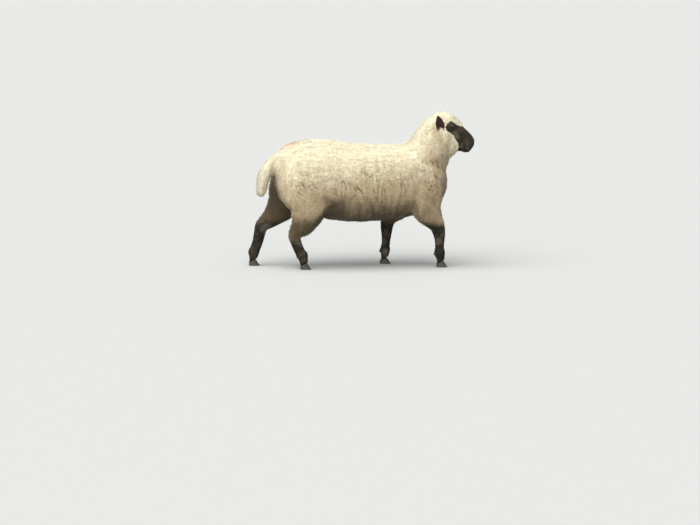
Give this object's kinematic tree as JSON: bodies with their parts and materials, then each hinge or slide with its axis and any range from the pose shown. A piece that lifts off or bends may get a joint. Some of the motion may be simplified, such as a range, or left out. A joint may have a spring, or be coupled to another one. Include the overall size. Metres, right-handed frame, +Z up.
{
  "type": "museum model of a sheep",
  "caption": "Life-size still model of a dark-faced, woolly Down-type ewe, standing in mid stride on four cloven feet with its head raised.",
  "frame": {"origin": "centre of the ewe's box on the floor it stands on", "axes": "+X from tail to nose, +Y to the ewe's left, +Z up"},
  "size_m": [1.276, 0.4487, 0.8724],
  "materials": {
    "fleece": "dense matte wool, cream above and greyer below",
    "face_and_cap": "short black-brown hair on the face, cream wool on cap and cheeks",
    "ear_hair": "short dark brown hair",
    "leg_hair": "short dark hair, mottled, with wool on the upper hind leg",
    "eyeball": "wet amber eye with a level pupil",
    "horn": "dull dark horn"
  },
  "bodies": {
    "root": {"trunk": "fleece", "neck": "fleece", "tail": "fleece", "head": "face_and_cap", "ear_right": "ear_hair", "ear_left": "ear_hair", "eye_right": "eyeball", "eye_left": "eyeball", "leg_fore_right": "leg_hair", "leg_fore_left": "leg_hair", "leg_hind_right": "leg_hair", "leg_hind_left": "leg_hair", "claw_fore_right_inner": "horn", "claw_fore_right_outer": "horn", "claw_fore_left_inner": "horn", "claw_fore_left_outer": "horn", "claw_hind_right_inner": "horn", "claw_hind_right_outer": "horn", "claw_hind_left_inner": "horn", "claw_hind_left_outer": "horn", "dewclaw_fore_right_inner": "horn", "dewclaw_fore_right_outer": "horn", "dewclaw_fore_left_inner": "horn", "dewclaw_fore_left_outer": "horn", "dewclaw_hind_right_inner": "horn", "dewclaw_hind_right_outer": "horn", "dewclaw_hind_left_inner": "horn", "dewclaw_hind_left_outer": "horn"}
  },
  "joints": []
}
